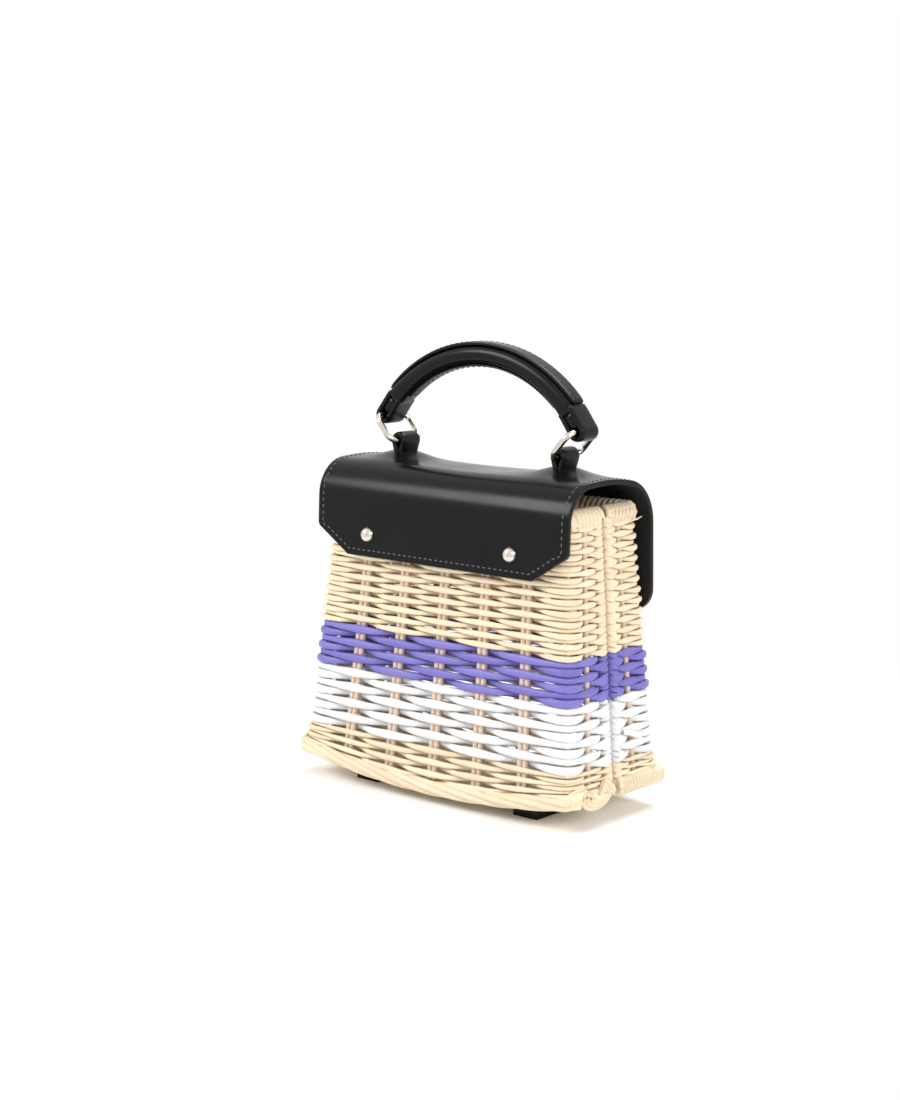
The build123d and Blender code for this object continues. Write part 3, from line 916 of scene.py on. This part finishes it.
def rounded_copy(name, node, body):
    """The solid of a leather piece with its edges rounded off."""
    piece = bpy.data.objects.new(name, nodes[node].data.copy())
    bpy.context.scene.collection.objects.link(piece)
    shape = bmesh.new()
    shape.from_mesh(piece.data)
    bmesh.ops.remove_doubles(shape, verts=shape.verts, dist=0.00001)
    bmesh.ops.dissolve_limit(shape, angle_limit=math.radians(3), verts=shape.verts, edges=shape.edges)
    bmesh.ops.recalc_face_normals(shape, faces=shape.faces)
    shape.to_mesh(piece.data)
    shape.free()
    round_edges(piece, 0.5, 35)
    piece.data.materials.clear()
    piece.data.materials.append(black_leather)
    piece.data.shade_smooth()
    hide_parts(node)
    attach(piece, body)


for name in ("left", "right"):
    rounded_copy(f"{name}_rear_strap_leather", f"{name}_strap_rear", "rear_half")
    rounded_copy(f"{name}_front_strap_leather", f"{name}_strap_front", "front_half")

# Handle: a stuffed roll of leather, a strip sewn on top and a seam strip below
grip_x = TAB_X + RING_REACH * math.sin(RING_LEAN)
grip_foot = BAR_HEIGHT + RING_REACH * math.cos(RING_LEAN)
grip_rise = GRIP_TOP - grip_foot
arch_radius = (grip_x**2 + grip_rise**2) / (2 * grip_rise)
arch_centre = GRIP_TOP - arch_radius


def sweep_shell(places, sections, verts, faces):
    """Adds a closed shell swept along places (point, outward direction) with rounded ends."""
    base = len(verts)
    steps = len(places) - 1
    count = len(sections[0])
    for step, ((point, outward), section) in enumerate(zip(places, sections)):
        end = min(step, steps - step) / 2
        shrink = 1 if end >= 1 else 0.82 + 0.18 * math.sqrt(max(0, 1 - (1 - end) ** 2))
        middle = sum(spot[1] for spot in section) / count
        for across, out in section:
            rise = middle + (out - middle) * shrink
            verts.append(point + outward * rise + Vector((0, across * shrink, 0)))
    for step in range(steps):
        for n in range(count):
            a = base + step * count + n
            b = base + step * count + (n + 1) % count
            faces.append((a, b, b + count, a + count))
    faces.append(tuple(range(base, base + count)))
    faces.append(tuple(range(base + steps * count, base + (steps + 1) * count)))


def leather_piece(name, shells, body):
    """One leather piece of swept shells, each given as (places, sections)."""
    verts, faces = [], []
    for places, sections in shells:
        sweep_shell(places, sections, verts, faces)
    piece = link_mesh(name, verts, (), faces)
    shape = bmesh.new()
    shape.from_mesh(piece.data)
    bmesh.ops.recalc_face_normals(shape, faces=shape.faces)
    shape.to_mesh(piece.data)
    shape.free()
    piece.data.shade_smooth()
    piece.data.materials.append(black_leather)
    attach(piece, body)
    return piece


def roll_section(width, thickness, power, points):
    outline = []
    for n in range(points):
        angle = 2 * math.pi * n / points
        across, out = math.cos(angle), math.sin(angle)
        outline.append((
            width / 2 * math.copysign(abs(across) ** (2 / power), across),
            thickness / 2 * math.copysign(abs(out) ** (2 / power), out),
        ))
    return outline


def strap_places(corners, radii):
    """Places along a strap's route (x, z), with the direction to its left as outward."""
    route = fillet_route(corners, radii, 0.7)
    places = []
    for n, spot in enumerate(route):
        run = (route[min(n + 1, len(route) - 1)] - route[max(n - 1, 0)]).normalized()
        places.append((Vector((spot.x, 0, spot.y)), Vector((-run.y, 0, run.x))))
    return places


def fold_round_bar(bar, low, high, radius):
    """Route from low round the bar to high: straight, a wide arc and straight again."""
    arc = []
    for start, turn in ((low, 1), (high, -1)):
        away = Vector(start) - bar
        reach = math.acos(min(1, radius / away.length))
        arc.append(math.atan2(away.y, away.x) + turn * reach)
    first, last = arc
    while last < first:
        last += 2 * math.pi
    points = [tuple(low)]
    for n in range(19):
        angle = first + (last - first) * n / 18
        points.append((bar.x + radius * math.cos(angle), bar.y + radius * math.sin(angle)))
    points.append(tuple(high))
    return points


# Tabs folded round the rings' lower bars, and loops at the ends of the handle round the upper bars
STRAP_LEATHER = 2.7
STRAP_STEM = 2.5
TAB_FOOT = 10.0
BAR_FIT = 1.65
LOOP_RADIUS = 3.3
LOOP_OVERLAP = 3.0
strap_section = roll_section(TAB_WIDTH, STRAP_LEATHER, 5, 28)
crown_along = next(along for along, spot in zip(sheet.lengths, sheet.route) if spot.x <= 0)


def folded_tab(name, side):
    bar = Vector((side * TAB_X, BAR_HEIGHT))
    layer = STRAP_LEATHER / 2
    below = (LEATHER + STRAP_LEATHER) / 2
    seat = sheet.place(TAB_X, crown_along).z - below
    foot = sheet.place(TAB_X + TAB_FOOT, crown_along).z - below
    low, high = (bar.x + layer, seat + STRAP_STEM), (bar.x - layer, seat + STRAP_STEM)
    stem = fold_round_bar(bar, low, high, BAR_FIT + layer)
    right_foot = [(bar.x + TAB_FOOT, foot), (bar.x + layer, seat)]
    left_foot = [(bar.x - layer, seat), (bar.x - TAB_FOOT, foot)]
    places = strap_places(right_foot + stem + left_foot, [1.2] + [0.4] * len(stem) + [1.2])
    tab = leather_piece(f"{name}_tab_leather", [(places, [strap_section] * len(places))], "flap_body")
    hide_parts(f"{name}_tab")
    hem = TAB_WIDTH / 2 - 1.4
    for face in (-1, 1):
        across = bar.x + face * (STRAP_LEATHER + 0.05)
        line = [(across, y, BAR_HEIGHT - 3.4) for y in (-hem, 0, hem)]
        label = "outer" if face == side else "inner"
        thread = seam(f"{name}_tab_stitches_{label}", line, dark_thread, 0.3, 2.0)
        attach(thread, "flap_body")


def folded_loop(name, side):
    """A strap from the top of the roll round the bar and back below it, over a short core."""
    along = Vector((side * math.cos(GRIP_END), -math.sin(GRIP_END)))
    outward = Vector((side * math.sin(GRIP_END), math.cos(GRIP_END)))
    roll_end = Vector((0, arch_centre)) + outward * arch_radius
    inset = (GRIP_THICKNESS - STRAP_LEATHER) / 2 - 0.15
    bar = Vector((side * grip_x, grip_foot))
    ends = (roll_end - outward * side * inset, roll_end + outward * side * inset)
    fold = fold_round_bar(bar, *ends, LOOP_RADIUS)
    tucked = [tuple(end - along * LOOP_OVERLAP) for end in ends]
    radii = [4.0] + [0.4] * (len(fold) - 2) + [4.0]
    places = strap_places([tucked[0]] + fold + [tucked[1]], radii)
    middle = (roll_end + bar) / 2 - along * 1.2
    half = (bar - roll_end).length / 2 - 0.8
    core, core_sections = [], []
    for n in range(9):
        spot = middle + along * (half * (n - 4) / 4)
        core.append((Vector((spot.x, 0, spot.y)), Vector((outward.x, 0, outward.y))))
        core_sections.append(roll_section(TAB_WIDTH - 1.4, 6.0 - 0.24 * n, 5, 20))
    shells = [(places, [strap_section] * len(places)), (core, core_sections)]
    loop = leather_piece(f"{name}_loop_leather", shells, "handle")
    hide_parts(f"handle_{name}_loop")


for side, name in ((1, "left"), (-1, "right")):
    folded_tab(name, side)
    folded_loop(name, side)


# Roll and strips of the handle
def arch_place(angle, radius, across=0.0):
    return Vector((radius * math.sin(angle), across, arch_centre + radius * math.cos(angle)))


def arch_sweep(name, section_at, end_angle, steps):
    """Sweeps a closed section (across, out) along the arch of the handle, from one end to the other."""
    places, sections = [], []
    for step in range(steps + 1):
        angle = -end_angle + 2 * end_angle * step / steps
        places.append((arch_place(angle, arch_radius), Vector((math.sin(angle), 0, math.cos(angle)))))
        sections.append(section_at(abs(2 * step / steps - 1)))
    return leather_piece(name, [(places, sections)], "handle")


def arch_seam(name, thread, end_angle, steps, radius, across, thread_radius, length):
    angles = (-end_angle + 2 * end_angle * n / steps for n in range(steps + 1))
    line = [arch_place(angle, radius, across) for angle in angles]
    thread = seam(name, line, thread, thread_radius, length)
    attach(thread, "handle")


def grip_section(share):
    """Round in the middle of the handle and squarer where it meets the loops."""
    width = GRIP_WIDTH - 0.8 * (1 - share**4)
    return roll_section(width, GRIP_THICKNESS, 2.3 + 2.5 * share**5, 28)


grip = arch_sweep("grip_roll", grip_section, GRIP_END, 72)
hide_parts("handle_grip")
strip_middle = (GRIP_THICKNESS + STRIP_THICKNESS) / 2 - 0.2
strip_section = [(a, o + strip_middle) for a, o in roll_section(STRIP_WIDTH, STRIP_THICKNESS, 5, 24)]
top_strip = arch_sweep("grip_top_strip", lambda share: strip_section, STRIP_END, 72)
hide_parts("handle_top_strip")
seam_middle = -(GRIP_THICKNESS + SEAM_THICKNESS) / 2 + 0.1
seam_section = [(a, o + seam_middle) for a, o in roll_section(SEAM_WIDTH, SEAM_THICKNESS, 4, 20)]
seam_strip = arch_sweep("grip_seam_strip", lambda share: seam_section, SEAM_END, 60)
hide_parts("handle_underside_strip")
strip_top = arch_radius + strip_middle + STRIP_THICKNESS / 2 - 0.1
for face, label in ((-1, "front"), (1, "rear")):
    across = face * (STRIP_WIDTH / 2 - 1.3)
    arch_seam(f"grip_{label}_stitches", dark_thread, STRIP_END * 0.97, 90, strip_top, across, 0.28, 2.2)
underside = arch_radius + seam_middle - 0.65
arch_seam("grip_seam_stitches", grey_thread, math.radians(42), 80, underside, 0.0, 0.4, 2.6)


# Carried-over solids get their finishes
def dress(node, material):
    piece = nodes[node]
    piece.data.materials.clear()
    piece.data.materials.append(material)


for half in ("rear", "front"):
    dress(f"{half}_base", natural_reed)
    dress(f"{half}_stakes", stake_reed)
for node in ("flap_rivets", "rivet_burrs", "snap_socket", "snap_stud", "left_ring", "right_ring"):
    dress(node, pale_metal)


# Floor, light and camera
FLOOR_HALF = 9000.0
FLOOR_FADE = (0.13, 0.42)


def eye_rays(tree):
    """1 for rays that see the white backdrop and 0 for rays of light."""
    seen = add_node(tree, "ShaderNodeLightPath").outputs
    either = maths(tree, "MAXIMUM", seen["Is Camera Ray"], seen["Is Glossy Ray"])
    return maths(tree, "MAXIMUM", either, seen["Is Transmission Ray"])


def floor_material():
    """Pale paper round the bag, which fades to the white of the backdrop further away."""
    material, tree, shader = new_material("studio_floor")
    place = object_place(tree)
    away = add_node(tree, "ShaderNodeVectorMath", {0: place}, operation="LENGTH").outputs["Value"]
    reach = {"Value": away, "From Min": FLOOR_FADE[0], "From Max": FLOOR_FADE[1]}
    far = add_node(tree, "ShaderNodeMapRange", reach, interpolation_type="SMOOTHSTEP").outputs["Result"]
    fade = maths(tree, "MULTIPLY", far, eye_rays(tree))
    backdrop = add_node(tree, "ShaderNodeEmission", {"Strength": 1.0}).outputs[0]
    mix = add_node(tree, "ShaderNodeMixShader", {"Fac": fade, 1: shader.outputs[0], 2: backdrop})
    feed(tree, tree.nodes["Material Output"], {"Surface": mix.outputs[0]})
    feed(tree, shader, {
        "Base Color": mixed(tree, noise(tree, place, 3.0), (1.0, 0.995, 0.985, 1), (0.99, 0.985, 0.975, 1)),
        "Roughness": 0.9,
        "Specular IOR Level": 0.1,
    })
    return material


floor_corners = [(x * FLOOR_HALF, y * FLOOR_HALF, 0) for x, y in ((-1, -1), (1, -1), (1, 1), (-1, 1))]
floor = link_mesh("floor", floor_corners, (), [(0, 1, 2, 3)])
floor.data.materials.append(floor_material())


def studio_world():
    world = bpy.data.worlds.new("studio")
    bpy.context.scene.world = world
    world.use_nodes = True
    tree = world.node_tree
    tree.nodes.clear()
    ambient = {"Color": (0.97, 0.98, 1.0, 1), "Strength": 0.5}
    backdrop = {"Color": (1, 1, 1, 1), "Strength": 1.0}
    mix = add_node(tree, "ShaderNodeMixShader", {
        "Fac": eye_rays(tree),
        1: add_node(tree, "ShaderNodeBackground", ambient).outputs[0],
        2: add_node(tree, "ShaderNodeBackground", backdrop).outputs[0],
    })
    add_node(tree, "ShaderNodeOutputWorld", {"Surface": mix.outputs[0]})


def soft_light(name, place, size, power):
    lamp = bpy.data.lights.new(name, "AREA")
    lamp.shape = "DISK"
    lamp.size = size
    lamp.energy = power
    holder = bpy.data.objects.new(name, lamp)
    bpy.context.scene.collection.objects.link(holder)
    holder.location = place
    aim = Vector((0, 0, 0.1)) - Vector(place)
    holder.rotation_mode = "QUATERNION"
    holder.rotation_quaternion = aim.to_track_quat("-Z", "Y")


studio_world()

# Place in metres, size in metres and power in watts
soft_light("key_light", (0.7, 1.0, 1.0), 0.8, 15)
soft_light("top_light", (-0.1, -0.5, 1.2), 0.8, 10)
soft_light("end_light", (-1.2, 0.3, 0.7), 0.7, 8)

# Camera fitted to the stakes, bands, corners and rivets
VIEW_AZIMUTH = math.radians(39.2)
VIEW_ELEVATION = math.radians(9.0)
VIEW_ROLL = math.radians(0.9)
VIEW_DISTANCE = 1044.0
FOCAL_PIXELS = 2085.0
TARGET_PIXEL = (477.0, 787.5)
FRAME_SIZE = (900, 1100)

back = Vector((
    -math.sin(VIEW_AZIMUTH) * math.cos(VIEW_ELEVATION),
    math.cos(VIEW_AZIMUTH) * math.cos(VIEW_ELEVATION),
    math.sin(VIEW_ELEVATION),
))
level_right = (-back).cross(Vector((0, 0, 1))).normalized()
level_up = level_right.cross(-back)
right = level_right * math.cos(VIEW_ROLL) + level_up * math.sin(VIEW_ROLL)
up = level_up * math.cos(VIEW_ROLL) - level_right * math.sin(VIEW_ROLL)
shift_x = (TARGET_PIXEL[0] - FRAME_SIZE[0] / 2) / FOCAL_PIXELS * VIEW_DISTANCE
shift_y = -(TARGET_PIXEL[1] - FRAME_SIZE[1] / 2) / FOCAL_PIXELS * VIEW_DISTANCE
eye = back * VIEW_DISTANCE - right * shift_x - up * shift_y
camera_data = bpy.data.cameras.new("photo_camera")
camera_data.sensor_width = 36.0
camera_data.lens = FOCAL_PIXELS / max(FRAME_SIZE) * camera_data.sensor_width
camera_data.clip_start = 0.1
camera = bpy.data.objects.new("photo_camera", camera_data)
bpy.context.scene.collection.objects.link(camera)
camera.rotation_mode = "QUATERNION"
camera.rotation_quaternion = Matrix((right, up, back)).transposed().to_quaternion()
camera.location = eye * MM
bpy.context.scene.camera = camera
bpy.context.scene.view_settings.view_transform = "Standard"
